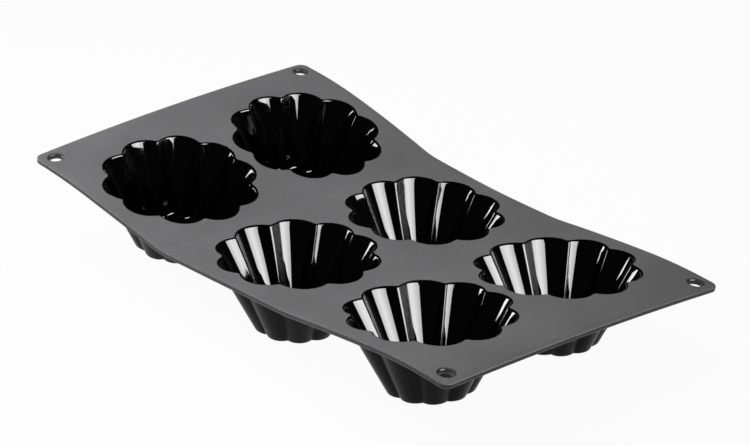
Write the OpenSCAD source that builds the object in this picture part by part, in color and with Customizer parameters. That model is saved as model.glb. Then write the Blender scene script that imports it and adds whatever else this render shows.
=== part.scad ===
// Flexible brioche mould: one sheet with six fluted cups in three columns and two rows.
// It stands on the two middle cups, with both ends of the sheet bent upwards. The ends sag
// back a little, and the whole sheet is twisted, as soft rubber rests.
// X runs along the sheet, Y from the front row to the back row, Z up from the table.
// The origin lies on the table, under the middle of the whole mould's box.

/* [Sheet] */
// Thickness of the sheet
sheet_thickness = 2.5; // [2:0.1:4]
// Sheet left beyond the outer cups at each short end
end_margin = 19; // [17:0.5:30]
// Sheet left beyond the cups along each long edge
side_margin = 7; // [5:0.5:20]
// Radius of the sheet's four corners
corner_radius = 6; // [2:0.5:12]

/* [Bend] */
// Angle by which the left column rises above the level middle
left_rise = 11.5; // [3:0.5:30]
// Angle by which the right column rises above the level middle
right_rise = 5.5; // [3:0.5:30]
// Angle by which the left end sags back
left_droop = 6; // [1:0.5:12]
// Angle by which the right end sags back
right_droop = 8; // [1:0.5:12]
// Length of each end that sags
droop_length = 45; // [30:1:70]
// Height to which a corner would twist if the sheet twisted as its middle does
twist = 6; // [0:0.5:12]
// How much of that height the twist loses towards the ends
untwist = 2; // [0:0.5:4]
// Height by which the long edges stand up beside the middle column
side_lift = 1; // [0:0.1:3]
// Height by which the left end's corners hang lower than that
left_fall = 3.2; // [0:0.1:6]
// Height by which the right end's corners hang lower than that
right_fall = 2.8; // [0:0.1:6]
// Height by which the back edge sags beside the middle column
back_sag = 2.8; // [0:0.1:5]
// Distance from the middle over which that sag fades
sag_length = 60; // [40:1:100]
// How gently that sag sets in across the sheet, from 1 at once to 2
sag_onset = 1.3; // [1:0.1:2]

/* [Cups] */
// Radius of the mouth to the tips of its lobes, at the sheet's top
rim_radius = 40; // [34:0.5:46]
// Height of the ridges between the lobes at the mouth
rim_flute = 4.6; // [3:0.1:6]
// Radius inside the foot to the tips of its lobes
foot_inner_radius = 19.2; // [16:0.1:24]
// Height of the ridges between the lobes at the foot
foot_flute = 2.6; // [1.5:0.1:3.2]
// Lobes round each cup
lobe_count = 10; // [8:1:12]
// Depth of a cup, from the sheet's top to the underside of its floor
cup_depth = 37.2; // [30:0.1:48]
// Thickness of the fluted wall
wall_thickness = 1.1; // [1:0.1:2]
// Thickness of the floor
floor_thickness = 1.5; // [1:0.1:2.5]
// Radius of the rounded lip where the sheet turns down into a cup
lip_radius = 1.5; // [1:0.1:3]
// Radius inside, where the wall meets the floor
floor_fillet = 2.5; // [2.3:0.1:3.5]
// Radius outside, round the edge of the foot
foot_round = 2.5; // [1.5:0.1:2.8]

/* [Spacing] */
// Sheet between the mouths of neighbouring columns
column_gap = 11; // [9:0.5:20]
// Sheet between the two rows, from the lobe circles
row_gap = 2; // [1:0.5:12]

/* [Hanging holes] */
// Diameter of the hole in each corner
hole_diameter = 6.5; // [4:0.1:8]
// Distance of a hole's centre from both edges
hole_inset = 8; // [6:0.1:12]

/* [Hidden] */
$fn = 64;

// Flat sheet left round each mouth, outside its rounded lip
rim_land = 0.5;
// Sheet left between a mouth's land and the strip that bends
web_margin = 1;
// Hairline between a bending strip and the side panel that swings on it
seam = 0.004;
// Overrun of a cut past the faces that it goes through
cut = 1;
// Points on each lobe, and steps on each rounded edge
lobe_points = 8;
lip_steps = 3;
fillet_steps = 2;
// Steps along the sheet's parts, round its corners and across it
panel_steps = 12;
web_steps = 5;
corner_steps = 5;
cross_steps = 10;
// Distance over which the slope of the sheet is taken
slope_step = 0.5;

column_pitch = 2 * rim_radius + column_gap;
row_pitch = 2 * rim_radius + row_gap;
sheet_length = 2 * (column_pitch + rim_radius + end_margin);
sheet_width = row_pitch + 2 * (rim_radius + side_margin);

// The bending strips between the columns
web_length = column_gap - 2 * (rim_land + web_margin);
web_near = column_pitch / 2 - web_length / 2;
web_far = column_pitch / 2 + web_length / 2;

half_length = sheet_length / 2;
half_width = sheet_width / 2;
droop_start = half_length - droop_length;

function limited(x, low, high) = min(max(x, low), high);
function smooth(t) = t * t * (3 - 2 * t);

// Chord of an arc of this length that turns from one slope to another, as [along, up].
function arc(length, from, to) =
    let (
        half = (to - from) / 2,
        middle = (to + from) / 2,
        chord = half == 0 ? length : length * sin(half) / (half * PI / 180)
    )
    chord * [cos(middle), sin(middle)];

// Slope of the sheet away from its centre, at a distance along it.
function rise_to(s) = (s < 0 ? left_rise : right_rise) * limited((abs(s) - web_near) / web_length, 0, 1);
function droop_to(s) =
    (s < 0 ? left_droop : right_droop) * max(abs(s) - droop_start, 0) / droop_length;

// Where the middle layer of the sheet goes, as [along, up], before it is twisted.
function profile(s) =
    let (
        rise = rise_to(s),
        reached =
            arc(min(abs(s), web_near), 0, 0)
            + arc(limited(abs(s) - web_near, 0, web_length), 0, rise)
            + arc(limited(abs(s) - web_far, 0, droop_start - web_far), rise, rise)
            + arc(max(abs(s) - droop_start, 0), rise, rise - droop_to(s))
    )
    [sign(s) * reached[0], reached[1]];

function reach(s) =
    abs(profile(s)[0]) + sheet_thickness / 2 * sin(rise_to(s) - droop_to(s));
centre_shift = (reach(-half_length) - reach(half_length)) / 2;

// Height that twist, raised edges and sags add at a place along and across the sheet.
function lift(s, y) =
    let (
        along = s / half_length,
        across = y / half_width,
        end = max((abs(s) - web_near) / (half_length - web_near), 0),
        fall = (s < 0 ? left_fall : right_fall) * pow(end, 2) - side_lift,
        sag = back_sag * exp(-pow(s / sag_length, 2)) * pow(max(across, 0), sag_onset)
    )
    (untwist * pow(along, 3) - twist * along) * across - fall * pow(across, 2) - sag;

// Bent place of a point of the flat mould: along, across, and above the sheet's top.
// A cup of the middle column settles: its foot stays level on the table.
function bent(p, settles = false) =
    let (
        s = p[0],
        y = p[1],
        held = settles ? smooth(limited((p[2] + cup_depth) / (cup_depth - sheet_thickness), 0, 1)) : 1,
        turn = sign(s) * (rise_to(s) - droop_to(s)),
        by_along = (lift(s + slope_step, y) - lift(s - slope_step, y)) / (2 * slope_step),
        by_across = (lift(s, y + slope_step) - lift(s, y - slope_step)) / (2 * slope_step),
        square = cross([cos(turn), 0, sin(turn) + held * by_along], [0, 1, held * by_across]),
        layer = profile(s)
    )
    [
        centre_shift + layer[0],
        y,
        cup_depth - sheet_thickness / 2 + layer[1] + held * lift(s, y)
    ] + square / norm(square) * (p[2] + sheet_thickness / 2);

// Section of a cup's wall. Its inner face is the line from the foot that touches the lip's arc.
slope_to_lip = atan2(rim_radius - foot_inner_radius, cup_depth - lip_radius);
lip_distance = norm([rim_radius - foot_inner_radius, cup_depth - lip_radius]);
wall_slope = slope_to_lip - asin(lip_radius / lip_distance);
wall_across = wall_thickness / cos(wall_slope);
floor_top = floor_thickness - cup_depth;

function inner_radius(z) = foot_inner_radius + (z + cup_depth) * tan(wall_slope);
function flute(z) = foot_flute + (z + cup_depth) / cup_depth * (rim_flute - foot_flute);

fillet_z = floor_top + floor_fillet;
fillet_r = inner_radius(fillet_z) - floor_fillet / cos(wall_slope);
round_z = foot_round - cup_depth;
round_r = inner_radius(round_z) + wall_across - foot_round / cos(wall_slope);

// A lobe is an arc through its tip and through the two ridges beside it.
half_lobe = 180 / lobe_count;
function arc_radius(tip, ridge) =
    let (a = ridge * sin(half_lobe), h = tip - ridge * cos(half_lobe)) (a * a + h * h) / (2 * h);
function arc_half_angle(tip, ridge) =
    let (r = arc_radius(tip, ridge), c = tip - r)
    atan2(ridge * sin(half_lobe), ridge * cos(half_lobe) - c);

// Outline of a fluted ring, anticlockwise, from the ridge before the lobe on +X.
function outline(tip, ridge) =
    let (r = arc_radius(tip, ridge), c = tip - r, a = arc_half_angle(tip, ridge))
    [
        for (lobe = [0 : lobe_count - 1])
            for (i = [0 : lobe_points - 1])
                let (
                    turn = a * (2 * i / lobe_points - 1),
                    x = c + r * cos(turn),
                    y = r * sin(turn),
                    m = 2 * half_lobe * lobe
                )
                [x * cos(m) - y * sin(m), x * sin(m) + y * cos(m)]
    ];

// Ridge radius of the outer face, which lies one wall thickness outside the inner one.
function outer_ridge(tip, ridge) =
    let (
        r = arc_radius(tip, ridge) + wall_across,
        c = tip - arc_radius(tip, ridge),
        s = c * sin(half_lobe)
    )
    c * cos(half_lobe) + sqrt(r * r - s * s);

// Each station of the section holds the tip radius, the ridge radius and the height.
function inner_station(r, z) = [r, r - flute(z), z];
function outer_station(z) =
    let (r = inner_radius(z)) [r + wall_across, outer_ridge(r, r - flute(z)), z];
function foot_station(angle) =
    let (
        z = round_z - foot_round * sin(angle),
        inset = foot_round / cos(wall_slope) - foot_round * cos(angle),
        wall = outer_station(round_z)
    )
    [wall[0] - inset, wall[1] - inset, z];

land_tip = rim_radius + rim_land;
land_ridge = land_tip - rim_flute;
floor_tip = fillet_r;
floor_ridge = fillet_r - flute(floor_top);

STATIONS = [
    [land_tip, land_ridge, 0],
    for (i = [0 : lip_steps])
        let (a = (90 - wall_slope) * i / lip_steps)
        [
            rim_radius - lip_radius * sin(a),
            rim_radius - lip_radius * sin(a) - rim_flute,
            lip_radius * (cos(a) - 1)
        ],
    for (i = [0 : fillet_steps - 1])
        let (a = wall_slope + (90 - wall_slope) * i / fillet_steps)
        inner_station(fillet_r + floor_fillet * cos(a), fillet_z - floor_fillet * sin(a)),
    [floor_tip, floor_ridge, floor_top],
    [floor_tip, floor_ridge, -cup_depth],
    for (i = [0 : fillet_steps])
        foot_station(90 - (90 - wall_slope) * i / fillet_steps),
    outer_station(-sheet_thickness),
    [land_tip, land_ridge, -sheet_thickness]
];

// Points of the rings at the stations of a cup, bent with the sheet.
function rings(column, row, stations) = [
    for (s = stations)
        for (p = outline(s[0], s[1]))
            bent([column * column_pitch + p[0], row * row_pitch / 2 + p[1], s[2]], column == 0)
];

// Two triangles for each side of each ring, to the ring after it.
function walls(ring_count, last) =
    let (n = lobe_count * lobe_points)
    [
        for (j = [0 : last])
            for (i = [0 : n - 1])
                let (
                    here = j * n + i,
                    next = j * n + (i + 1) % n,
                    below = ((j + 1) % ring_count) * n + i,
                    below_next = ((j + 1) % ring_count) * n + (i + 1) % n
                )
                each [[here, below_next, next], [here, below, below_next]]
    ];

function turned(faces) = [for (f = faces) [f[2], f[1], f[0]]];

// A solid ring lofted through the stations, closed from the last one back to the first.
module lofted_ring(column, row, stations)
    polyhedron(rings(column, row, stations), walls(len(stations), len(stations) - 1));

// A solid plug lofted through the stations, with a flat end at the first and at the last.
module lofted_plug(column, row, stations) {
    n = lobe_count * lobe_points;
    m = len(stations);
    centre = [column * column_pitch, row * row_pitch / 2];
    hubs = [
        for (j = [0, m - 1]) bent([centre[0], centre[1], stations[j][2]], column == 0)
    ];
    faces = [
        each walls(m, m - 2),
        for (i = [0 : n - 1])
            each [
                [m * n, i, (i + 1) % n],
                [m * n + 1, (m - 1) * n + (i + 1) % n, (m - 1) * n + i]
            ]
    ];
    rising = stations[m - 1][2] > stations[0][2];
    polyhedron(
        [each rings(column, row, stations), each hubs],
        rising ? faces : turned(faces)
    );
}

// Cutter for the mouth of one cup, which leaves the cup's own ring free.
module mouth(column, row)
    lofted_plug(column, row, [
        for (z = [-sheet_thickness - cut, -sheet_thickness, 0, cut]) [land_tip, land_ridge, z]
    ]);

// Cutter for the hanging hole in one corner, square to the sheet.
module hanging_hole(column, row) {
    place = [column * (half_length - hole_inset), row * (half_width - hole_inset)];
    foot = bent([place[0], place[1], -sheet_thickness - cut]);
    axis = bent([place[0], place[1], cut]) - foot;
    translate(foot)
        rotate([asin(-axis[1] / norm(axis)), atan2(axis[0], axis[2]), 0])
            cylinder(d = hole_diameter, h = norm(axis));
}

// Half the width of the sheet at a distance along it: less at its rounded corners.
function half_width_at(s) =
    let (past = max(abs(s) - half_length + corner_radius, 0))
    half_width - corner_radius + sqrt(max(pow(corner_radius, 2) - pow(past, 2), 0));

// Distances along the sheet, in equal steps.
function spread(from, to, steps) = [for (i = [0 : steps]) from + (to - from) * i / steps];

// A part of the sheet, as a grid of points that bends with it.
module bent_sheet(distances) {
    m = len(distances);
    rows = cross_steps + 1;
    points = [
        for (z = [0, -sheet_thickness])
            for (s = distances)
                for (share = spread(-1, 1, cross_steps))
                    bent([s, share * half_width_at(s), z])
    ];
    // Way round the edge of the grid, clockwise from above.
    edge = [
        for (j = [0 : rows - 2]) j,
        for (i = [0 : m - 2]) i * rows + rows - 1,
        for (j = [rows - 1 : -1 : 1]) (m - 1) * rows + j,
        for (i = [m - 1 : -1 : 1]) i * rows
    ];
    under = m * rows;
    top = [
        for (i = [0 : m - 2])
            for (j = [0 : rows - 2])
                let (a = i * rows + j)
                each [[a, a + 1, a + rows + 1], [a, a + rows + 1, a + rows]]
    ];
    // The diagonals run alike at both ends, so that neighbours meet without a sliver.
    sides = [
        for (k = [0 : len(edge) - 1])
            let (p = edge[k], q = edge[(k + 1) % len(edge)])
            each p < q
                ? [[q, p, p + under], [q, p + under, q + under]]
                : [[q, p, q + under], [p, p + under, q + under]]
    ];
    bottom = turned([for (f = top) [f[0] + under, f[1] + under, f[2] + under]]);
    polyhedron(points, [each top, each bottom, each sides]);
}

// The sheet round one side column, from the strip that bends to its rounded outer corners.
module side_panel(column)
    difference() {
        straight = spread(web_far, half_length - corner_radius, panel_steps);
        rounded = [
            for (a = spread(0, 90, corner_steps))
                if (a > 0)
                    half_length - corner_radius + corner_radius * sin(a)
        ];
        outwards = [each straight, each rounded];
        bent_sheet([
            for (i = [0 : len(outwards) - 1])
                column > 0 ? outwards[i] : -outwards[len(outwards) - 1 - i]
        ]);
        for (row = [-1, 1]) {
            mouth(column, row);
            hanging_hole(column, row);
        }
    }

module left_panel()
    color("dimgray") side_panel(-1);

module right_panel()
    color("dimgray") side_panel(1);

module middle_panel()
    color("dimgray")
        difference() {
            bent_sheet(spread(-web_near, web_near, panel_steps));
            for (row = [-1, 1])
                mouth(0, row);
        }

// The strip of sheet that bends, from the middle panel to a hairline before a side panel
module left_web()
    color("gray") bent_sheet(spread(seam - web_far, -web_near, web_steps));

module right_web()
    color("gray") bent_sheet(spread(web_near, web_far - seam, web_steps));

// Rounded lip and fluted wall of one cup
module cup(column, row)
    color([0.16, 0.16, 0.17])
        lofted_ring(column, row, STATIONS);

// Flat floor of one cup, which is pushed up to free what was baked
module cup_floor(column, row)
    color([0.1, 0.1, 0.11])
        lofted_plug(column, row, [for (z = [floor_top, -cup_depth]) [floor_tip, floor_ridge, z]]);

left_panel();
middle_panel();
right_panel();
left_web();
right_web();
cup(-1, -1);  // cup_left_front
cup(-1, 1);  // cup_left_back
cup(0, -1);  // cup_middle_front
cup(0, 1);  // cup_middle_back
cup(1, -1);  // cup_right_front
cup(1, 1);  // cup_right_back
cup_floor(-1, -1);  // floor_left_front
cup_floor(-1, 1);  // floor_left_back
cup_floor(0, -1);  // floor_middle_front
cup_floor(0, 1);  // floor_middle_back
cup_floor(1, -1);  // floor_right_front
cup_floor(1, 1);  // floor_right_back
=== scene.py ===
"""Looks of a flexible brioche mould: a bent sheet with six fluted cups, on a white studio floor."""

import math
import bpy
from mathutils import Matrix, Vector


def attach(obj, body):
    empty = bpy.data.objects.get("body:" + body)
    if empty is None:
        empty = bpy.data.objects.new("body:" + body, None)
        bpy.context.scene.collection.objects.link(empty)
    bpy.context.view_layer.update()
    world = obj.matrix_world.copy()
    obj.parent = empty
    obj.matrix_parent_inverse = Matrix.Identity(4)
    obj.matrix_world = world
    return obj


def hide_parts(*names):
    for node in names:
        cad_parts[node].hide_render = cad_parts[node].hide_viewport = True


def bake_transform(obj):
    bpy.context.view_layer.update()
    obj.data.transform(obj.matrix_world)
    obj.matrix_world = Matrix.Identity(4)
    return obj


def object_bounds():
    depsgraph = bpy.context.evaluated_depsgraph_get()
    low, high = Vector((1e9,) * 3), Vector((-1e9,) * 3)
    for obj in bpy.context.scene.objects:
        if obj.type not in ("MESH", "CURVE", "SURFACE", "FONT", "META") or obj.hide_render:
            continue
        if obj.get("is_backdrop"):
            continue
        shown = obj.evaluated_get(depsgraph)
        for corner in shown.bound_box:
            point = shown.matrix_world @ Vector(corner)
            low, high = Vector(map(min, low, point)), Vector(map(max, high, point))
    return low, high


bl_info = {
    "name": "Brioche mould",
    "version": (1, 0, 0),
    "blender": (4, 5, 0),
    "location": "3D View > Sidebar > Mould",
    "description": "Builds a flexible mould with six fluted cups, its finishes and its studio",
    "category": "Add Mesh",
}

import bpy
import numpy as np
from bpy.props import FloatProperty, FloatVectorProperty, IntProperty, PointerProperty
from mathutils import Matrix, Vector
from mathutils.geometry import delaunay_2d_cdt

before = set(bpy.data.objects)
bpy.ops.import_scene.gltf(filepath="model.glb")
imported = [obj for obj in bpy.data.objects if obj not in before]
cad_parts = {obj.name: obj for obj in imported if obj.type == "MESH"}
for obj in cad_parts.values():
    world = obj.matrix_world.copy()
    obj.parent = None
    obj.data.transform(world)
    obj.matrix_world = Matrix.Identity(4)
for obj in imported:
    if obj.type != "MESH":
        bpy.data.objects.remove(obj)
CAD_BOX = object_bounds()

COLUMNS = {"left": -1, "middle": 0, "right": 1}
ROWS = {"front": -1, "back": 1}
RIM_HEIGHT = 0.04
TINY = 1e-7


def length(name, description, default):
    return FloatProperty(
        name=name, description=description, default=default, unit="LENGTH", precision=4
    )


def angle(name, description, degrees):
    return FloatProperty(
        name=name,
        description=description,
        default=math.radians(degrees),
        subtype="ANGLE",
        unit="ROTATION",
    )


def colour(name, description, *default):
    return FloatVectorProperty(
        name=name,
        description=description,
        default=default,
        subtype="COLOR",
        min=0,
        max=1,
    )


def share(name, description, default):
    return FloatProperty(name=name, description=description, default=default, min=0)


class MouldSizes(bpy.types.PropertyGroup):
    sheet_length: length("Sheet length", "Length of the sheet when flat", 0.300)
    sheet_width: length("Sheet width", "Width of the sheet", 0.176)
    sheet_thickness: length("Sheet thickness", "Thickness of the sheet", 0.0025)
    corner_radius: length("Corner radius", "Radius of the sheet's corners", 0.0045)
    edge_radius: length("Edge radius", "Rounding along the sheet's edges", 0.0005)
    column_pitch: length("Column pitch", "Distance between columns", 0.091)
    row_pitch: length("Row pitch", "Distance between the rows", 0.082)
    rim_radius: length("Rim radius", "Mouth of a cup to its lobes' tips", 0.0400)
    rim_flute: length("Rim flute", "Height of the ridges at the mouth", 0.0046)
    rim_land: length("Rim land", "Flat ring of sheet that belongs to a cup", 0.0005)
    foot_radius: length("Foot radius", "Inside of the foot to the lobes' tips", 0.0192)
    foot_flute: length("Foot flute", "Height of the ridges at the foot", 0.0026)
    rim_ridge: length("Ridge at the rim", "Rounding of the ridges at the mouth", 0.0018)
    foot_ridge: length("Ridge at the foot", "Rounding of the ridges at the foot", 0.0008)
    crease_round: length("Crease rounding", "Radius in the outer creases", 0.0007)
    cup_depth: length("Cup depth", "Sheet's top to the floor's underside", 0.0372)
    wall: length("Wall", "Thickness of the fluted wall", 0.0011)
    floor: length("Floor", "Thickness of a cup's floor", 0.0015)
    lip_radius: length("Lip radius", "Rounding where the sheet turns down", 0.0015)
    floor_fillet: length("Floor fillet", "Radius where wall meets floor", 0.0025)
    foot_round: length("Foot rounding", "Radius round the outside of a foot", 0.0025)
    hole_diameter: length("Hole diameter", "Hanging hole in each corner", 0.0065)
    hole_lip: length("Hole lip", "Rounding of a hole's upper edge", 0.0011)
    hole_inset: length("Hole inset", "Hole's centre to both edges", 0.008)
    web_length: length("Web length", "Strip of sheet that bends", 0.008)
    left_rise: angle("Left rise", "How far the left column is raised", 11.5)
    right_rise: angle("Right rise", "How far the right column is raised", 5.5)
    left_droop: angle("Left droop", "How far the left end sags back", 6)
    right_droop: angle("Right droop", "How far the right end sags back", 8)
    droop_length: length("Droop length", "Length of each end that sags", 0.045)
    twist: length("Twist", "Twist of the sheet's middle, carried on to a corner", 0.006)
    untwist: length("Untwist", "How much of that the ends lose", 0.002)
    side_lift: length("Side lift", "Rise of the long edges beside the middle", 0.001)
    left_fall: length("Left fall", "Fall of the left end's corners", 0.0032)
    right_fall: length("Right fall", "Fall of the right end's corners", 0.0028)
    back_sag: length("Back sag", "Sag of the back edge beside the middle", 0.0028)
    sag_length: length("Sag length", "Distance over which that sag fades", 0.060)
    sag_onset: share("Sag onset", "How gently that sag sets in, from 1 at once to 2", 1.3)
    lobes: IntProperty(name="Lobes", description="Lobes round a cup", default=10, min=3)


class MouldFinishes(bpy.types.PropertyGroup):
    # The sheet's grey is partly the silicone's own dark colour and partly painted sheen of the
    # matte top.
    sheet: colour("Sheet", "Matte top of the sheet", 0.135, 0.135, 0.139)
    edge: colour("Edge", "Moulded edges of the sheet", 0.045, 0.045, 0.047)
    inside: colour("Inside", "Polished inside of a cup", 0.0006, 0.0006, 0.0006)
    outside: colour("Outside", "Satin outside of a cup", 0.0032, 0.0032, 0.0034)
    speck: colour("Specks", "Dust on the sheet", 0.30, 0.30, 0.30)
    inside_roughness: share("Inside roughness", "Roughness inside a cup", 0.035)
    outside_roughness: share("Outside roughness", "Roughness outside a cup", 0.34)
    sheet_roughness: share("Sheet roughness", "Roughness of the sheet's top", 0.55)


class MouldStudio(bpy.types.PropertyGroup):
    floor: colour("Floor", "Studio floor and backdrop", 0.8, 0.8, 0.8)
    floor_glow: share("Floor glow", "Share of the floor's white that isn't shaded", 0.965)
    key_glow: share("Key glow", "Brightness of the key softbox, where 1 is white", 25.0)
    side_glow: share("Side glow", "Brightness of the side card, where 1 is white", 17.0)
    fill_glow: share("Fill glow", "Brightness of the fill, where 1 is white", 2.95)
    lens: FloatProperty(name="Lens", description="Focal length in mm", default=116.7)
    distance: length("Distance", "Camera to the point that it looks at", 1.22393)
    aim: FloatVectorProperty(
        name="Aim",
        description="Point that the camera looks at",
        default=(-0.03237, 0.03735, 0.0192),
        subtype="TRANSLATION",
        unit="LENGTH",
    )
    azimuth: angle("Azimuth", "Camera's turn from the front", 47.11)
    elevation: angle("Elevation", "Camera's height above the horizon", 24.89)
    roll: angle("Roll", "Camera's roll, anticlockwise as it looks", 1.83)


def smooth(t):
    t = np.clip(t, 0, 1)
    return t * t * (3 - 2 * t)


class BentSheet:
    """Carries points of the flat sheet (along, across, above its top) into its bent shape."""

    STEP = 0.00025
    TILT_STEP = 0.0005
    REACH = 1.1

    def __init__(self, sizes):
        self.sizes = sizes
        half = sizes.sheet_length / 2
        self.near = sizes.column_pitch / 2 - sizes.web_length / 2
        self.far = sizes.column_pitch / 2 + sizes.web_length / 2
        count = round(half * self.REACH / self.STEP)
        self.along = np.arange(-count, count + 1) * self.STEP
        turn = self.turn(self.along)
        steps = [(f(turn)[1:] + f(turn)[:-1]) / 2 * self.STEP for f in (np.cos, np.sin)]
        run, climb = (np.concatenate([[0], np.cumsum(s)]) for s in steps)
        self.run, self.climb = run - run[count], climb - climb[count]
        self.shift = (self.reach(-half) - self.reach(half)) / 2

    def reach(self, along):
        """How far the top or the underside goes sideways at a distance along the sheet."""
        run, turn = np.interp(along, self.along, self.run), self.turn(along)
        return abs(run) + self.sizes.sheet_thickness / 2 * abs(math.sin(turn))

    def turn(self, along):
        """Slope of the sheet, rising to the right."""
        sizes = self.sizes
        bend = np.clip((np.abs(along) - self.near) / sizes.web_length, 0, 1)
        start = sizes.sheet_length / 2 - sizes.droop_length
        sag = np.maximum(np.abs(along) - start, 0) / sizes.droop_length
        left = sizes.left_droop * sag - sizes.left_rise * bend
        right = sizes.right_rise * bend - sizes.right_droop * sag
        return np.where(along < 0, left, right)

    def lift(self, along, across):
        """Height that twist, raised edges and sags add."""
        sizes = self.sizes
        s = along / (sizes.sheet_length / 2)
        y = across / (sizes.sheet_width / 2)
        end = np.maximum((np.abs(along) - self.near) / (sizes.sheet_length / 2 - self.near), 0)
        fall = np.where(along < 0, sizes.left_fall, sizes.right_fall) * end**2 - sizes.side_lift
        fade = np.exp(-((along / sizes.sag_length) ** 2))
        sag = sizes.back_sag * fade * np.maximum(y, 0) ** sizes.sag_onset
        return (sizes.untwist * s**3 - sizes.twist * s) * y - fall * y**2 - sag

    def place(self, points, settles=False):
        """Where flat points go. A cup that settles has its foot flat on the floor."""
        along, across, above = np.asarray(points, float).T
        turn = np.interp(along, self.along, self.turn(self.along))
        e = self.TILT_STEP
        by_along = (self.lift(along + e, across) - self.lift(along - e, across)) / (2 * e)
        by_across = (self.lift(along, across + e) - self.lift(along, across - e)) / (2 * e)
        lift = self.lift(along, across)
        if settles:
            sizes = self.sizes
            depth = sizes.cup_depth - sizes.sheet_thickness
            held = smooth((above + sizes.cup_depth) / depth)
            by_along, by_across, lift = by_along * held, by_across * held, lift * held
        zero = np.zeros_like(turn)
        u = np.stack([np.cos(turn), zero, np.sin(turn) + by_along], -1)
        v = np.stack([zero, zero + 1, by_across], -1)
        normal = np.cross(u, v)
        normal /= np.linalg.norm(normal, axis=-1, keepdims=True)
        half = self.sizes.sheet_thickness / 2
        base = np.stack(
            [
                np.interp(along, self.along, self.run) + self.shift,
                across,
                np.interp(along, self.along, self.climb) + self.sizes.cup_depth - half + lift,
            ],
            -1,
        )
        return base + normal * (above + half)[:, None]


class Lobes:
    """Outlines of a fluted ring, and where their points are round the cup, in lobes."""

    ARC_STEPS = 18
    RIDGE_STEPS = 6
    RIDGE_SHARE = 0.12

    def __init__(self, sizes):
        self.sizes = sizes
        self.half = math.pi / sizes.lobes
        arc = np.linspace(-1, 1, self.ARC_STEPS + 1)
        apex = np.linspace(-1, 1, self.RIDGE_STEPS + 1)[1:-1]
        ridge = self.RIDGE_SHARE / 2
        lobe = np.concatenate([0.5 + (0.5 - ridge) * arc, 1 + ridge * apex])
        self.turns = (np.arange(sizes.lobes)[:, None] + lobe).ravel()

    def arc(self, tip, ridge):
        """Radius of a lobe's arc and its centre's distance from the cup's axis."""
        a = ridge * math.sin(self.half)
        h = tip - ridge * math.cos(self.half)
        radius = (a * a + h * h) / (2 * h)
        return radius, tip - radius

    def outline(self, tip, ridge, rounding, offset=0.0):
        """Points round a ring whose lobes and ridges have these radii, offset outwards."""
        radius, centre = self.arc(tip, ridge)
        radius += offset
        across = centre * math.sin(self.half)
        apex = centre * math.cos(self.half) + math.sqrt((radius + rounding) ** 2 - across**2)
        ax, ay = apex * math.cos(self.half), apex * math.sin(self.half)
        spread = math.atan2(ay, ax - centre)
        t = np.linspace(-spread, spread, self.ARC_STEPS + 1)
        points = [np.stack([centre + radius * np.cos(t), radius * np.sin(t)], -1)]
        facing = self.half + math.pi
        half_turn = spread - self.half
        t = facing + half_turn * np.linspace(1, -1, self.RIDGE_STEPS + 1)[1:-1]
        points.append(np.stack([ax + rounding * np.cos(t), ay + rounding * np.sin(t)], -1))
        lobe = np.concatenate(points)
        turns = np.arange(self.sizes.lobes) * 2 * self.half
        c, s = np.cos(turns)[:, None], np.sin(turns)[:, None]
        x, y = lobe[:, 0], lobe[:, 1]
        return np.stack([x * c - y * s, x * s + y * c], -1).reshape(-1, 2)


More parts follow.
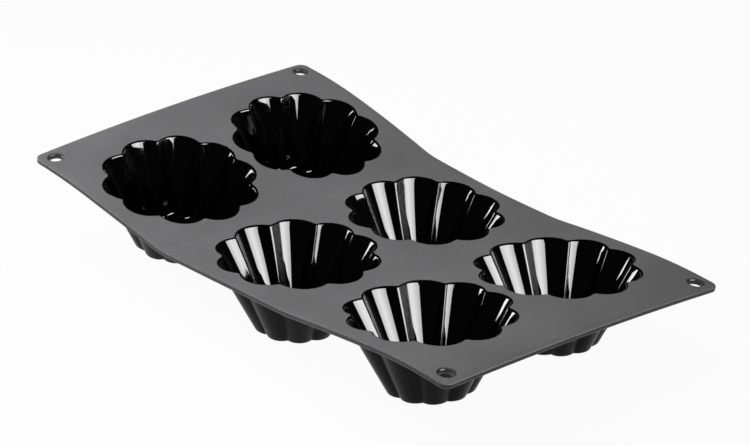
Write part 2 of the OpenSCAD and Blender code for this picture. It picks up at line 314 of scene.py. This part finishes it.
class CupSection:
    """Rings of a cup from the sheet's top, down its inside and up its outside.

    The wall leans by slope from upright, and across is its thickness measured level.
    """

    LIP_STEPS = 8
    WALL_STEPS = 14
    FILLET_STEPS = 6
    FLOOR_STEPS = 6
    CREASE = ((0.12, 0.3), (0.35, 0.08))

    def __init__(self, sizes):
        self.sizes = sizes
        self.lobes = Lobes(sizes)
        drop = sizes.cup_depth - sizes.lip_radius
        out = sizes.rim_radius - sizes.foot_radius
        self.slope = math.atan2(out, drop) - math.asin(sizes.lip_radius / math.hypot(out, drop))
        self.across = sizes.wall / math.cos(self.slope)

    def inner(self, z):
        return self.sizes.foot_radius + (z + self.sizes.cup_depth) * math.tan(self.slope)

    def flute(self, z):
        sizes = self.sizes
        rise = (z + sizes.cup_depth) / sizes.cup_depth
        return sizes.foot_flute + rise * (sizes.rim_flute - sizes.foot_flute)

    def ridge(self, z):
        """Rounding of the ridges at a height."""
        sizes = self.sizes
        rise = min(max((z + sizes.cup_depth) / sizes.cup_depth, 0), 1)
        return sizes.foot_ridge + rise * (sizes.rim_ridge - sizes.foot_ridge)

    def ring(self, tip, ridge, z, offset=0.0):
        sizes = self.sizes
        rounding = sizes.crease_round if offset else self.ridge(z)
        flat = self.lobes.outline(tip, ridge, rounding, offset)
        return np.column_stack([flat, np.full(len(flat), z)])

    def land(self, z):
        sizes = self.sizes
        tip = sizes.rim_radius + sizes.rim_land
        return self.ring(tip, tip - sizes.rim_flute, z)

    def inside(self):
        sizes = self.sizes
        rings = []
        for a in np.linspace(0, math.pi / 2 - self.slope, self.LIP_STEPS + 1):
            tip = sizes.rim_radius - sizes.lip_radius * math.sin(a)
            z = sizes.lip_radius * (math.cos(a) - 1)
            rings.append(self.ring(tip, tip - sizes.rim_flute, z))
        top = sizes.lip_radius * (math.sin(self.slope) - 1)
        fillet_z = sizes.floor - sizes.cup_depth + sizes.floor_fillet
        fillet_r = self.inner(fillet_z) - sizes.floor_fillet / math.cos(self.slope)
        foot = fillet_z - sizes.floor_fillet * math.sin(self.slope)
        for z in np.linspace(top, foot, self.WALL_STEPS + 1)[1:]:
            rings.append(self.ring(self.inner(z), self.inner(z) - self.flute(z), z))
        for a in np.linspace(self.slope, math.pi / 2, self.FILLET_STEPS + 1)[1:]:
            tip = fillet_r + sizes.floor_fillet * math.cos(a)
            z = fillet_z - sizes.floor_fillet * math.sin(a)
            rings.append(self.ring(tip, tip - self.flute(z), z))
        return rings + self.disc(rings[-1])

    def outside(self):
        """From the middle of the underside, round the foot and up to the sheet.

        The crease under the sheet has rings between wall and land, each this share of the
        way out and lower than the sheet by this share of half the wall.
        """
        sizes = self.sizes
        round_z = sizes.foot_round - sizes.cup_depth
        wall = self.inner(round_z)
        rings = []
        for a in np.linspace(math.pi / 2, self.slope, self.FILLET_STEPS + 1):
            inset = sizes.foot_round / math.cos(self.slope) - sizes.foot_round * math.cos(a)
            ring = self.ring(wall, wall - self.flute(round_z), 0, self.across)
            reach = np.linalg.norm(ring[:, :2], axis=1, keepdims=True)
            ring[:, :2] *= (reach - inset) / reach
            ring[:, 2] = round_z - sizes.foot_round * math.sin(a)
            rings.append(ring)
        under = -sizes.sheet_thickness
        low = rings[-1][0, 2]
        for z in np.linspace(low, under - sizes.wall / 2, self.WALL_STEPS + 1)[1:]:
            rings.append(self.ring(self.inner(z), self.inner(z) - self.flute(z), z, self.across))
        tip = self.inner(under)
        top = self.ring(tip, tip - self.flute(under), under, self.across)
        land = self.land(under)
        for share_out, drop in self.CREASE:
            ring = top + (land - top) * share_out
            ring[:, 2] = under - sizes.wall / 2 * drop
            rings.append(ring)
        return self.disc(rings[0])[::-1] + rings + [land]

    def disc(self, rim):
        """Rings from an outline to its middle, where they are nearly round."""
        rings = []
        reach = np.linalg.norm(rim[:, :2], axis=1, keepdims=True)
        for step in range(1, self.FLOOR_STEPS + 1):
            keep = 1 - step / (self.FLOOR_STEPS + 0.5)
            ring = rim.copy()
            even = reach.min() / reach
            ring[:, :2] *= keep * (1 + (even - 1) * (1 - keep))
            rings.append(ring)
        return rings


def new_piece(name, points, faces, finishes, which=None, attributes=None, sharp=None):
    """Makes a smooth mesh object from points and faces, with a finish for each face."""
    mesh = bpy.data.meshes.new(name)
    mesh.from_pydata(np.asarray(points).tolist(), [], faces)
    mesh.validate()
    for finish in finishes:
        mesh.materials.append(finish)
    if which is not None:
        mesh.polygons.foreach_set("material_index", which)
    mesh.shade_smooth()
    for label, values in (attributes or {}).items():
        kind = "FLOAT_VECTOR" if values.ndim == 2 else "FLOAT"
        made = mesh.attributes.new(label, kind, "POINT")
        made.data.foreach_set("vector" if values.ndim == 2 else "value", values.ravel())
    if sharp is not None:
        keys = np.array([e.key for e in mesh.edges])
        crease = mesh.attributes.new("sharp_edge", "BOOLEAN", "EDGE")
        crease.data.foreach_set("value", sharp[keys[:, 0]] & sharp[keys[:, 1]])
    mesh.update()
    piece = bpy.data.objects.new(name, mesh)
    bpy.context.scene.collection.objects.link(piece)
    return piece


class Shape:
    """Collects flat points, faces and their finishes before they are bent and made."""

    def __init__(self):
        self.points, self.faces, self.which, self.turns = [], [], [], []
        self.total = 0

    def add_points(self, points, turns=0.0):
        points = np.asarray(points, float)
        self.points.append(points)
        self.turns.append(np.broadcast_to(np.asarray(turns, float), len(points)))
        first = self.total
        self.total += len(points)
        return np.arange(first, self.total)

    def add_faces(self, faces, finish):
        self.faces += [tuple(int(i) for i in f) for f in faces]
        self.which += [finish] * len(faces)

    def band(self, low, high, finish):
        """Quads between two closed rows of points."""
        quads = np.stack([low, np.roll(low, -1), np.roll(high, -1), high], -1)
        self.add_faces(quads, finish)

    def fan(self, ring, hub, finish):
        """Triangles from a closed row of points to one point in its middle."""
        self.add_faces([(a, b, hub) for a, b in zip(ring, np.roll(ring, -1))], finish)

    def make(self, name, sheet, finishes, seams, settles=False):
        """Bends the shape and makes its piece, with sharp edges along its seams."""
        flat = np.concatenate(self.points)
        sharp = np.zeros(len(flat), bool)
        sharp[seams] = True
        return new_piece(
            name,
            sheet.place(flat, settles),
            self.faces,
            finishes,
            self.which,
            {"flat": flat.astype(np.float32), "lobe_turn": np.concatenate(self.turns)},
            sharp,
        )


def cup_shape(section, centre):
    """One cup as a closed skin, and its points at the seam with the sheet."""
    in_land, in_cup, out_of_cup = range(3)
    shape = Shape()
    inside, outside = section.inside(), section.outside()
    turns = section.lobes.turns
    move = np.array([*centre, 0.0])
    top = shape.add_points(section.land(0) + move, turns)
    rows = [shape.add_points(ring + move, turns) for ring in inside]
    shape.band(top, rows[0], in_land)
    for a, b in zip(rows, rows[1:]):
        shape.band(a, b, in_cup)
    hub = shape.add_points([[*centre, inside[-1][0, 2]]])[0]
    shape.fan(rows[-1], hub, in_cup)
    rows = [shape.add_points(ring + move, turns) for ring in outside]
    hub = shape.add_points([[*centre, outside[0][0, 2]]])[0]
    shape.fan(rows[0][::-1], hub, out_of_cup)
    for a, b in zip(rows, rows[1:]):
        shape.band(a, b, out_of_cup)
    shape.band(rows[-1], top, out_of_cup)
    return shape, np.concatenate([top, rows[-1]])


def rounded_outline(corners, radius, spacing, steps=8):
    """Points round a polygon; corners with a True mark get this radius."""
    points = []
    n = len(corners)
    for i, (corner, rounded) in enumerate(corners):
        here = np.array(corner, float)
        before, after = np.array(corners[i - 1][0]), np.array(corners[(i + 1) % n][0])
        u = (before - here) / np.linalg.norm(before - here)
        v = (after - here) / np.linalg.norm(after - here)
        if rounded:
            centre = here + (u + v) * radius
            for t in np.linspace(0, math.pi / 2, steps + 1):
                points.append(centre - v * radius * math.cos(t) - u * radius * math.sin(t))
        else:
            points.append(here)
    points = np.array(points)
    out = []
    for a, b in zip(points, np.roll(points, -1, 0)):
        parts = max(1, round(np.linalg.norm(b - a) / spacing))
        out += [a + (b - a) * k / parts for k in range(parts)]
    return np.array(out)


def circle(centre, radius, steps=40):
    t = np.arange(steps) * 2 * math.pi / steps
    return np.stack([centre[0] + radius * np.cos(t), centre[1] + radius * np.sin(t)], -1)


def inside_polygon(points, polygon):
    """Which points lie inside a polygon, by counting its sides that a ray crosses."""
    x, y = points[:, :1], points[:, 1:]
    (ax, ay), (bx, by) = polygon.T, np.roll(polygon, -1, 0).T
    spans = (ay > y) != (by > y)
    rise = np.where(by == ay, 1, by - ay)
    return (spans & (x < (bx - ax) * (y - ay) / rise + ax)).sum(1) % 2 == 1


def plate(outline, holes, inner_points):
    """Triangles of a flat plate with holes: its points and faces, outlines first."""
    loops = [outline, *holes]
    starts = np.cumsum([0] + [len(loop) for loop in loops])
    edges = [
        (int(s + i), int(s + (i + 1) % len(loop)))
        for s, loop in zip(starts, loops)
        for i in range(len(loop))
    ]
    points = np.concatenate([*loops, inner_points])
    made, _, faces, *_ = delaunay_2d_cdt([Vector(p) for p in points], edges, [], 0, TINY)
    if len(made) != len(points):
        raise RuntimeError("the plate's outline crosses itself or a hole")
    faces = np.array(faces)
    middle = points[faces].mean(1)
    keep = inside_polygon(middle, outline)
    for hole in holes:
        keep &= ~inside_polygon(middle, hole)
    return points, faces[keep], starts


class SheetPart:
    """One of the sheet's three parts, flat, with openings for its cups and for hanging."""

    TOP, UNDER, EDGE = range(3)
    SPACING = 0.004
    BEND_STEPS = 14
    EDGE_STEPS = 4
    LIP_STEPS = 5
    MOUTH_GAP, HOLE_GAP, OUTLINE_GAP = 0.0015, 0.001, 0.0012

    def __init__(self, section, bend, column):
        sizes = section.sizes
        self.sizes, self.bend, self.column = sizes, bend, column
        self.half_length, self.half_width = sizes.sheet_length / 2, sizes.sheet_width / 2
        self.ends = sorted((column * bend.near, column * self.half_length))
        if not column:
            self.ends = [-bend.near, bend.near]
        self.free = (column < 0, column > 0)
        land = section.land(0)[:, :2]
        self.mouths = [
            land + [column * sizes.column_pitch, row * sizes.row_pitch / 2]
            for row in ROWS.values()
        ]
        x, y = self.half_length - sizes.hole_inset, self.half_width - sizes.hole_inset
        self.holes = [np.array([column * x, row * y]) for row in ROWS.values() if column]
        self.hole_radius = sizes.hole_diameter / 2
        self.shape = Shape()

    def build(self):
        """Makes the part and returns its shape and its points at mouths and seams."""
        sizes, shape = self.sizes, self.shape
        outline = self.outline(sizes.edge_radius)
        lips = self.circles(self.hole_radius + sizes.hole_lip)
        inner = self.inner_points(outline, lips)
        top = self.add_plate([outline, *self.mouths, *lips], inner, 0)
        bores = self.circles(self.hole_radius)
        under = self.add_plate([outline, *self.mouths, *bores], inner, -sizes.sheet_thickness)
        edge = self.add_edge(top[0], under[0])
        # The walls of the mouths lie hidden against the cups' own rings.
        for upper, lower in zip(top[1:3], under[1:3]):
            shape.band(upper, lower, self.EDGE)
        for hole, upper, lower in zip(self.holes, top[3:], under[3:]):
            self.add_hole(hole, upper, lower)
        seams = [*top[1:3], *under[1:3]]
        flat = np.concatenate(shape.points)
        for x, free in zip(self.ends, self.free):
            if not free:
                seams.append(edge[np.abs(flat[edge, 0] - x) < TINY])
        return shape, np.concatenate(seams)

    def outline(self, inset):
        """The part's outline, drawn in where the edge is free and not at a seam."""
        left, right = self.free
        a = self.ends[0] + (inset if left else 0)
        b = self.ends[1] - (inset if right else 0)
        w = self.half_width - inset
        corners = [((a, -w), left), ((b, -w), right), ((b, w), right), ((a, w), left)]
        return rounded_outline(corners, self.sizes.corner_radius - inset, self.SPACING)

    def circles(self, radius):
        return [circle(hole, radius) for hole in self.holes]

    def inner_points(self, outline, lips):
        """A grid inside the plate, close together along the strip that bends."""
        step, (start, stop) = self.SPACING, self.ends
        lines = np.arange(start + step, stop - step / 2, step)
        if self.column:
            near, far = self.bend.near, self.bend.far
            strip = np.arange(near, far + TINY, self.sizes.web_length / self.BEND_STEPS)
            rest = lines[np.abs(lines) >= far]
            lines = np.concatenate([rest, self.column * strip[1:]])
        rows = np.arange(step - self.half_width, self.half_width - step / 2, step)
        grid = np.array([(x, y) for x in lines for y in rows])
        clear = inside_polygon(grid, outline)
        openings = [(loop, loop.mean(0), self.MOUTH_GAP) for loop in self.mouths]
        openings += [(loop, hole, self.HOLE_GAP) for loop, hole in zip(lips, self.holes)]
        for loop, middle, gap in openings:
            spokes = loop - middle
            longer = 1 + gap / np.linalg.norm(spokes, axis=1)[:, None]
            clear &= ~inside_polygon(grid, middle + spokes * longer)
        grid = grid[clear]
        gaps = np.linalg.norm(grid[:, None] - outline[None], axis=2).min(1)
        return grid[gaps > self.OUTLINE_GAP]

    def add_row(self, flat, z):
        return self.shape.add_points(np.column_stack([flat, np.full(len(flat), z)]))

    def add_plate(self, loops, inner, z):
        """The top or the underside at this height. Returns the points of each loop."""
        flat, faces, starts = plate(loops[0], loops[1:], inner)
        points = self.add_row(flat, z)
        if z:
            self.shape.add_faces(points[faces][:, ::-1], self.UNDER)
        else:
            self.shape.add_faces(points[faces], self.TOP)
        return [points[a:b] for a, b in zip(starts, starts[1:])]

    def add_edge(self, top, under):
        """The edge in quads, matte where it is rounded and satin between."""
        radius, thickness = self.sizes.edge_radius, self.sizes.sheet_thickness
        turns = np.linspace(0, math.pi / 2, self.EDGE_STEPS + 1)[1:]
        upper = [(radius * (1 - math.sin(t)), -radius * (1 - math.cos(t))) for t in turns]
        lower = [(inset, -thickness - z) for inset, z in reversed(upper)]
        rows = [self.add_row(self.outline(inset), z) for inset, z in upper + lower]
        rows = [top, *rows, under]
        for k, (a, b) in enumerate(zip(rows, rows[1:])):
            self.shape.band(b, a, self.EDGE if k == self.EDGE_STEPS else self.TOP)
        return np.concatenate(rows)

    def add_hole(self, hole, last, under):
        """The wall of a hanging hole, rounded at its top."""
        lip = self.sizes.hole_lip
        for t in np.linspace(0, math.pi / 2, self.LIP_STEPS + 1)[1:]:
            ring = circle(hole, self.hole_radius + lip * (1 - math.sin(t)))
            row = self.add_row(ring, -lip * (1 - math.cos(t)))
            self.shape.band(last, row, self.EDGE)
            last = row
        self.shape.band(last, under, self.EDGE)


class Socket:
    """An output of a shader node. Arithmetic on it adds Math nodes."""

    def __init__(self, finish, output):
        self.finish, self.output = finish, output

    def math(self, operation, *values):
        return self.finish.node("ShaderNodeMath", {"operation": operation}, dict(enumerate(values)))

    def __add__(self, other):
        return self.math("ADD", self, other)

    def __sub__(self, other):
        return self.math("SUBTRACT", self, other)

    def __rsub__(self, other):
        return self.math("SUBTRACT", other, self)

    def __mul__(self, other):
        return self.math("MULTIPLY", self, other)

    __radd__, __rmul__ = __add__, __mul__

    def rise(self, low, high):
        """0 below low, 1 above high and a smooth step between; falls if low is the higher."""
        if low > high:
            return 1 - self.rise(high, low)
        settings = {"interpolation_type": "SMOOTHSTEP"}
        return self.finish.node(
            "ShaderNodeMapRange", settings, {"Value": self, "From Min": low, "From Max": high}
        )


class Finish:
    """A material, lamp or world whose nodes are written as expressions."""

    def __init__(self, name, tree=None):
        self.material = None
        if tree is None:
            self.material = bpy.data.materials.new(name)
            self.material.use_nodes = True
            tree = self.material.node_tree
        self.tree = tree
        self.tree.nodes.clear()

    def node(self, kind, settings=None, inputs=None, output=0):
        """Adds a node: its settings first, then values or links into its sockets."""
        made = self.tree.nodes.new(kind)
        for key, value in (settings or {}).items():
            setattr(made, key, value)
        for key, value in (inputs or {}).items():
            if isinstance(value, Socket):
                self.tree.links.new(value.output, made.inputs[key])
            else:
                made.inputs[key].default_value = value
        return Socket(self, made.outputs[output]) if made.outputs else None

    def mix(self, factor, low, high):
        """A colour that goes from low to high."""
        low, high = ((*c, 1) if isinstance(c, tuple) and len(c) == 3 else c for c in (low, high))
        inputs = {0: factor, 6: low, 7: high}
        return self.node("ShaderNodeMix", {"data_type": "RGBA"}, inputs, 2)

    def noise(self, place, scale, detail=2.0):
        """Noise from 0 to 1, with its features 1 / scale metres apart."""
        inputs = {"Vector": place, "Scale": scale, "Detail": detail}
        return self.node("ShaderNodeTexNoise", {}, inputs)

    def flat(self):
        """Place on the flat sheet, in metres, which stays when the mould bends."""
        return self.node("ShaderNodeAttribute", {"attribute_name": "flat"}, {}, "Vector")

    def lobe_turn(self):
        """Place round a cup, counted in lobes from the middle of a ridge."""
        return self.node("ShaderNodeAttribute", {"attribute_name": "lobe_turn"}, {}, "Fac")

    def rays(self):
        """Whether the camera, a reflection or a view through a surface looks here."""
        kinds = ("Camera", "Glossy", "Transmission")
        return [self.node("ShaderNodeLightPath", {}, {}, f"Is {kind} Ray") for kind in kinds]

    def bump(self, height, distance, strength=1.0):
        inputs = {"Height": height, "Distance": distance, "Strength": strength}
        return self.node("ShaderNodeBump", {}, inputs)

    def surface(self, inputs):
        shader = self.node("ShaderNodeBsdfPrincipled", {}, inputs)
        self.node("ShaderNodeOutputMaterial", {}, {"Surface": shader})
        return self.material


def sheet_finish(look):
    """Matte moulded silicone, whose grey is partly the silicone's own dark colour and partly the
    matte top's sheen painted in: fine grain, slow cloudiness and a little dust.
    """
    f = Finish("matte_silicone_painted_sheen")
    place = f.flat()
    cloud = f.noise(place, 22.0, 3.0)
    grain = f.noise(place, 1500.0, 2.0)
    cells = {"Vector": place, "Scale": 150.0}
    flat = {"voronoi_dimensions": "2D"}
    dots = f.node("ShaderNodeTexVoronoi", flat, cells, "Distance")
    chance = f.node("ShaderNodeTexVoronoi", flat, cells, "Color")
    rare = f.node("ShaderNodeSeparateColor", {}, {"Color": chance}).rise(0.66, 0.70)
    speck = dots.rise(0.065, 0.03) * rare
    low = tuple(0.93 * c for c in look.sheet)
    high = tuple(1.07 * c for c in look.sheet)
    cloudy = f.mix(cloud.rise(0.3, 0.7), low, high)
    grainy = f.mix(grain.rise(0.35, 0.65) * 0.10, cloudy, tuple(1.5 * c for c in look.sheet))
    return f.surface(
        {
            "Base Color": f.mix(speck * 0.8, grainy, tuple(look.speck)),
            "Roughness": look.sheet_roughness - 0.05 + 0.10 * cloud,
            "Specular IOR Level": 0.35,
            "Normal": f.bump(grain, 0.00003, 0.5),
        }
    )


def edge_finish(look):
    """Moulded edges of the sheet and its holes, darker and smoother than its top."""
    f = Finish("satin_edge")
    place = f.flat()
    cloud = f.noise(place, 60.0, 3.0)
    grain = f.noise(place, 2200.0, 2.0)
    dark = tuple(0.85 * c for c in look.edge)
    pale = tuple(1.25 * c for c in look.edge)
    tone = f.mix(cloud.rise(0.3, 0.7), dark, pale)
    return f.surface(
        {
            "Base Color": tone,
            "Roughness": 0.26 + 0.10 * cloud,
            "Specular IOR Level": 0.25,
            "Normal": f.bump(grain, 0.00002, 0.4),
        }
    )


def inside_finish(look):
    """Polished silicone, with tool marks down one flank of the lobes in one part of a cup."""
    marks_to_lobe, mark_height, mark_foot = 19, 0.00045, -0.031
    first, last, soft = 4, 8, 0.1
    f = Finish("polished_silicone")
    place = f.flat()
    turn = f.lobe_turn()
    across = turn.math("FRACT", turn)
    smear = f.noise(place, 60.0, 3.0)
    marks = across.math("SINE", across * (2 * math.pi * marks_to_lobe))
    flank = across.rise(0.74, 0.78) * across.rise(0.945, 0.935)
    height = f.node("ShaderNodeSeparateXYZ", {}, {"Vector": place}, "Z")
    wall = height.rise(mark_foot, mark_foot + 0.003)
    marked = flank * wall * turn.rise(first - soft, first) * turn.rise(last + soft, last)
    dust = f.noise(place, 900.0, 1.0).rise(0.66, 0.76)
    return f.surface(
        {
            "Base Color": f.mix(dust * 0.06, tuple(look.inside), tuple(3 * c for c in look.inside)),
            "Roughness": look.inside_roughness + 0.03 * smear.rise(0.45, 0.75) + 0.05 * marked,
            "IOR": 1.42,
            "Normal": f.bump(marks * marked, mark_height),
        }
    )


def outside_finish(look):
    """Satin outside of the cups, slightly cloudy."""
    f = Finish("satin_silicone")
    place = f.flat()
    cloud = f.noise(place, 70.0, 3.0)
    grain = f.noise(place, 1800.0, 2.0)
    dark = tuple(0.85 * c for c in look.outside)
    pale = tuple(1.3 * c for c in look.outside)
    return f.surface(
        {
            "Base Color": f.mix(cloud.rise(0.3, 0.7), dark, pale),
            "Roughness": look.outside_roughness - 0.04 + 0.10 * cloud,
            "IOR": 1.3,
            "Specular IOR Level": 0.15,
            "Normal": f.bump(grain, 0.00003, 0.5),
        }
    )


def finishes():
    """The four finishes, made once and shared by all pieces."""
    look = bpy.context.scene.mould_finishes
    made = {}
    for name, make in (
        ("matte_silicone_painted_sheen", sheet_finish),
        ("satin_edge", edge_finish),
        ("polished_silicone", inside_finish),
        ("satin_silicone", outside_finish),
    ):
        made[name] = bpy.data.materials.get(name) or make(look)
    return made


class MOULD_OT_sheet(bpy.types.Operator):
    """Build the bent sheet in three parts, with its edges, corners and hanging holes"""

    bl_idname = "mould.sheet"
    bl_label = "Bent sheet"

    def execute(self, context):
        sizes = context.scene.mould_sizes
        section, bend, look = CupSection(sizes), BentSheet(sizes), finishes()
        materials = [look["matte_silicone_painted_sheen"], look["satin_silicone"], look["satin_edge"]]
        for name, column in COLUMNS.items():
            shape, seams = SheetPart(section, bend, column).build()
            piece = shape.make(f"sheet_{name}", bend, materials, seams)
            if column:
                ends = bend.place([[column * s, 0, 0] for s in (bend.near, bend.far)])
                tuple(ends[0])
                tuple(ends[1])
                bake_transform(piece)
                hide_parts(f"{name}_panel", f"{name}_web")
            else:
                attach(piece, "middle")
                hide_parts("middle_panel")
        return {"FINISHED"}


class MOULD_OT_cups(bpy.types.Operator):
    """Build the six fluted cups, each from its lip to its floor in one skin"""

    bl_idname = "mould.cups"
    bl_label = "Fluted cups"

    FOLD_BELOW_LIP = 0.002
    FOLD_ABOVE_FOOT = 0.004

    def execute(self, context):
        sizes = context.scene.mould_sizes
        section, bend, look = CupSection(sizes), BentSheet(sizes), finishes()
        materials = [look["matte_silicone_painted_sheen"], look["polished_silicone"], look["satin_silicone"]]
        for name, column in COLUMNS.items():
            for row_name, row in ROWS.items():
                centre = (column * sizes.column_pitch, row * sizes.row_pitch / 2)
                shape, seam = cup_shape(section, centre)
                where = f"{name}_{row_name}"
                piece = shape.make(f"fluted_cup_{where}", bend, materials, seam, column == 0)
                fold_top = -sizes.lip_radius - self.FOLD_BELOW_LIP
                fold_foot = self.FOLD_ABOVE_FOOT - sizes.cup_depth
                start, end = bend.place([[*centre, fold_top], [*centre, fold_foot]])
                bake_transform(piece)
                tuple(start)
                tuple(end)
                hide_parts(f"cup_{where}", f"floor_{where}")
        return {"FINISHED"}


def softbox(name, towards, distance, across, upwards, glow):
    """A rectangular lamp in a plane that faces the mould.

    The plane stands at this distance towards an azimuth from +X and an elevation. The lamp
    covers part of it, given across and upwards from the plane's middle in distances.
    """
    azimuth, elevation = (math.radians(v) for v in towards)
    out = Vector((math.cos(azimuth), math.sin(azimuth), 0))
    side = Vector((-out.y, out.x, 0))
    away = out * math.cos(elevation) + Vector((0, 0, math.sin(elevation)))
    up = away.cross(side)
    data = bpy.data.lights.new(name, "AREA")
    data.shape = "RECTANGLE"
    data.size = distance * (across[1] - across[0])
    data.size_y = distance * (upwards[1] - upwards[0])
    data.energy = glow * math.pi * data.size * data.size_y
    lamp = bpy.data.objects.new(name, data)
    bpy.context.scene.collection.objects.link(lamp)
    middle = away + side * sum(across) / 2 + up * sum(upwards) / 2
    lamp.location = middle * distance + Vector((0, 0, RIM_HEIGHT))
    lamp.rotation_mode = "QUATERNION"
    lamp.rotation_quaternion = Matrix((side, up, away)).transposed().to_quaternion()
    lamp.visible_camera = False
    return lamp


def shade_softbox(lamp, fade):
    """Makes a softbox light reflections alone, and fade to this share towards its sides.

    An echo, its reflection in a surface that is itself seen in a reflection, is dimmed.
    """
    echo_depth, echo_loss = 2.5, 0.92
    lamp.visible_diffuse = False
    lamp.data.cycles.max_bounces = 0
    lamp.data.use_nodes = True
    f = Finish(lamp.name, lamp.data.node_tree)
    place = f.node("ShaderNodeNewGeometry", {}, {}, "Parametric")
    along = f.node("ShaderNodeSeparateXYZ", {}, {"Vector": place}, "X")
    from_middle = along.math("ABSOLUTE", along * 2 - 1)
    depth = f.node("ShaderNodeLightPath", {}, {}, "Ray Depth")
    echo = depth.math("GREATER_THAN", depth, echo_depth)
    strength = (1 - from_middle * (1 - fade)) * (1 - echo * echo_loss)
    light = f.node("ShaderNodeEmission", {}, {"Strength": strength})
    f.node("ShaderNodeOutputLight", {}, {"Surface": light})


class MOULD_OT_studio(bpy.types.Operator):
    """Build the pale floor, the lamps, the world and the camera at the photograph's view"""

    bl_idname = "mould.studio"
    bl_label = "Studio"

    def execute(self, context):
        studio = context.scene.mould_studio
        self.make_camera(context, studio)
        self.make_floor(studio)
        self.make_world(context.scene)
        self.make_lamps(studio)
        context.scene.view_settings.view_transform = "Standard"
        return {"FINISHED"}

    def make_lamps(self, studio):
        """Two softboxes that the glossy cups reflect, and a fill for the matte colours."""
        across, upwards = (-0.55, 0.58), (-0.57, 0.05)
        key = softbox("key_softbox", (14, 45), 1.3, across, upwards, studio.key_glow)
        shade_softbox(key, 0.6)
        across, upwards = (-0.23, 0.21), (-0.10, 0.12)
        side = softbox("side_card", (200, 6), 0.4, across, upwards, studio.side_glow)
        shade_softbox(side, 1.0)
        distance, size = 0.42, 0.6
        reach = (-size / 2 / distance, size / 2 / distance)
        fill = softbox("overhead_fill", (235, 62), distance, reach, reach, studio.fill_glow)
        fill.visible_glossy = False

    def make_camera(self, context, studio):
        data = bpy.data.cameras.new("camera")
        data.lens, data.sensor_width = studio.lens, 36
        data.clip_start, data.clip_end = 0.05, 100
        aim = Vector(studio.aim)
        camera = bpy.data.objects.new("camera", data)
        context.scene.collection.objects.link(camera)
        a, e = studio.azimuth, studio.elevation
        back = Vector((math.sin(a) * math.cos(e), -math.cos(a) * math.cos(e), math.sin(e)))
        turn = back.to_track_quat("Z", "Y") @ Matrix.Rotation(studio.roll, 3, "Z").to_quaternion()
        camera.location = aim + back * studio.distance
        camera.rotation_mode = "QUATERNION"
        camera.rotation_quaternion = turn
        context.scene.camera = camera

    def make_floor(self, studio):
        half, white = 9.0, 0.99
        corners = [(-half, -half, 0), (half, -half, 0), (half, half, 0), (-half, half, 0)]
        f = Finish("studio_floor")
        camera, glossy, through = f.rays()
        seen = camera + glossy + through
        tone = (*studio.floor, 1)
        lit = f.node("ShaderNodeBsdfDiffuse", {}, {"Color": tone})
        glow = f.node("ShaderNodeEmission", {}, {"Color": (1, 1, 1, 1), "Strength": white})
        mixed = f.node("ShaderNodeMixShader", {}, {0: seen * studio.floor_glow, 1: lit, 2: glow})
        f.node("ShaderNodeOutputMaterial", {}, {"Surface": mixed})
        floor = new_piece("studio_floor_sweep", corners, [(0, 1, 2, 3)], [f.material])
        floor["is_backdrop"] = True

    def make_world(self, scene):
        scene.world = bpy.data.worlds.new("studio_world")
        scene.world.use_nodes = True
        f = Finish("studio_world", scene.world.node_tree)
        camera, glossy, through = f.rays()
        way = f.node("ShaderNodeTexCoord", {}, {}, "Generated")
        height = f.node("ShaderNodeSeparateXYZ", {}, {"Vector": way}, "Z")
        sweep = height.rise(0.03, 0.0)
        seen = camera + (glossy + through) * sweep
        room = (0.03, 0.03, 0.03)
        tone = f.mix(seen, room, (1.0, 1.0, 1.0))
        back = f.node("ShaderNodeBackground", {}, {"Color": tone})
        f.node("ShaderNodeOutputWorld", {}, {"Surface": back})


class MOULD_PT_panel(bpy.types.Panel):
    bl_idname = "MOULD_PT_panel"
    bl_label = "Brioche mould"
    bl_space_type = "VIEW_3D"
    bl_region_type = "UI"
    bl_category = "Mould"

    def draw(self, context):
        for operator in OPERATORS:
            self.layout.operator(operator.bl_idname)
        for group in ("mould_sizes", "mould_finishes", "mould_studio"):
            values = getattr(context.scene, group)
            box = self.layout.box()
            for key in values.__annotations__:
                box.prop(values, key)


OPERATORS = (MOULD_OT_studio, MOULD_OT_sheet, MOULD_OT_cups)
GROUPS = {"mould_sizes": MouldSizes, "mould_finishes": MouldFinishes, "mould_studio": MouldStudio}


def register():
    for cls in (*GROUPS.values(), *OPERATORS, MOULD_PT_panel):
        bpy.utils.register_class(cls)
    for key, group in GROUPS.items():
        setattr(bpy.types.Scene, key, PointerProperty(type=group))


def unregister():
    for key in GROUPS:
        delattr(bpy.types.Scene, key)
    for cls in (MOULD_PT_panel, *OPERATORS, *GROUPS.values()):
        bpy.utils.unregister_class(cls)


def main():
    register()
    bpy.ops.mould.studio()
    bpy.ops.mould.sheet()
    bpy.ops.mould.cups()
    boxes = {"cad": CAD_BOX, "visual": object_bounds()}
    {key: [list(corner) for corner in box] for key, box in boxes.items()}


if __name__ == "__main__":
    main()
